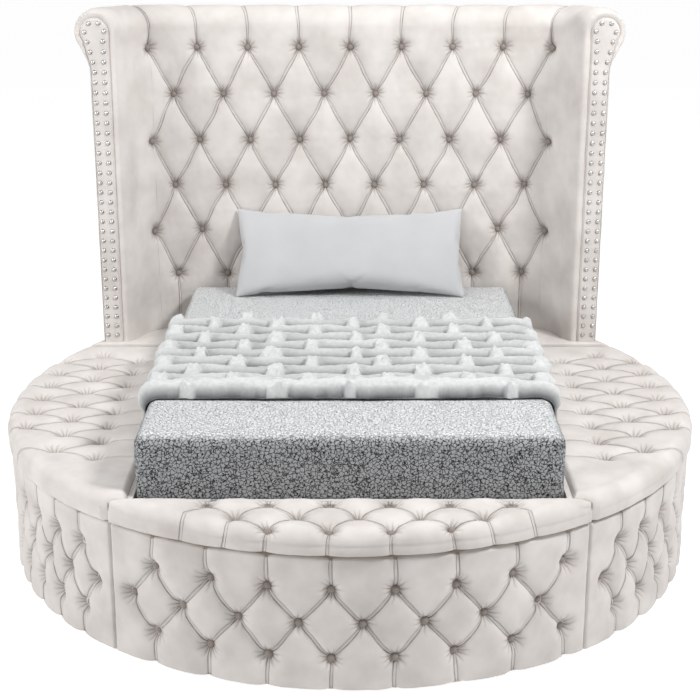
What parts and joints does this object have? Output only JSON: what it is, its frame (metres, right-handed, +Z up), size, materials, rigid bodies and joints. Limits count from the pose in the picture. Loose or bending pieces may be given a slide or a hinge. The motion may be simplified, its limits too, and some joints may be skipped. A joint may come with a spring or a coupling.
{
  "type": "upholstered bed",
  "caption": "Round storage bed with tufted bench lids that lift, and a tall tufted headboard with a rolled top, splayed scroll wings and a slatted base",
  "frame": {"origin": "centre of the round base on the floor, under the middle leg of the centre rail", "axes": "+Z up, +Y towards the headboard, +X towards the right side seen from the foot"},
  "size_m": [2.6176, 2.3761, 1.975],
  "materials": {
    "velvet": "deep-tufted short-pile velvet, warm pale greige",
    "button_velvet": "velvet-covered buttons, slightly darker",
    "timber": "birch plywood and planed softwood, unfinished",
    "hinge_steel": "zinc-plated steel, satin",
    "glide_nylon": "matte moulded nylon",
    "sherpa": "pebbled grey sherpa fleece",
    "pillow_cotton": "white cotton with soft creases",
    "plush": "white ribbed plush"
  },
  "bodies": {
    "base": {"centre_rail": "timber", "foot_bench_floor": "timber", "foot_face_buttons": "button_velvet", "foot_face_pad": "velvet", "foot_inner_wall": "timber", "foot_outer_wall": "timber", "glides": "glide_nylon", "headboard_back": "velvet", "headboard_board": "timber", "headboard_buttons": "button_velvet", "headboard_frame": "timber", "headboard_pad": "velvet", "headboard_roll_core": "timber", "hinge_fixed_leaves": "hinge_steel", "hinge_pins": "hinge_steel", "left_bench_floor": "timber", "left_end_wall": "timber", "left_face_buttons": "button_velvet", "left_face_pad": "velvet", "left_inner_wall": "timber", "left_ledger": "timber", "left_outer_wall": "timber", "left_plinth_pad": "velvet", "left_rear_corner_pad": "velvet", "left_rear_plinth": "timber", "left_wing_core": "timber", "left_wing_facing": "velvet", "left_wing_pad": "velvet", "mattress": "sherpa", "pillow": "pillow_cotton", "rail_legs": "timber", "right_bench_floor": "timber", "right_end_wall": "timber", "right_face_buttons": "button_velvet", "right_face_pad": "velvet", "right_inner_wall": "timber", "right_ledger": "timber", "right_outer_wall": "timber", "right_plinth_pad": "velvet", "right_rear_corner_pad": "velvet", "right_rear_plinth": "timber", "right_wing_core": "timber", "right_wing_facing": "velvet", "right_wing_pad": "velvet", "slats": "timber", "throw": "plush"},
    "left_lid": {"left_lid_board": "timber", "left_lid_pad": "velvet", "left_lid_buttons": "button_velvet", "left_lid_hinge_leaves": "hinge_steel"},
    "right_lid": {"right_lid_board": "timber", "right_lid_pad": "velvet", "right_lid_buttons": "button_velvet", "right_lid_hinge_leaves": "hinge_steel"},
    "foot_lid": {"foot_lid_board": "timber", "foot_lid_pad": "velvet", "foot_lid_buttons": "button_velvet", "foot_lid_hinge_leaves": "hinge_steel"}
  },
  "joints": [
    {"name": "left_lid_hinge", "type": "hinge", "parent": "base", "child": "left_lid", "pos_m": [-0.725, -0.2, 0.5528], "axis": [0, 1, 0], "range_deg": [0, 70]},
    {"name": "right_lid_hinge", "type": "hinge", "parent": "base", "child": "right_lid", "pos_m": [0.725, -0.2, 0.5528], "axis": [0, -1, 0], "range_deg": [0, 70]},
    {"name": "foot_lid_hinge", "type": "hinge", "parent": "base", "child": "foot_lid", "pos_m": [0, -1.035, 0.5528], "axis": [-1, 0, 0], "range_deg": [0, 60]}
  ]
}
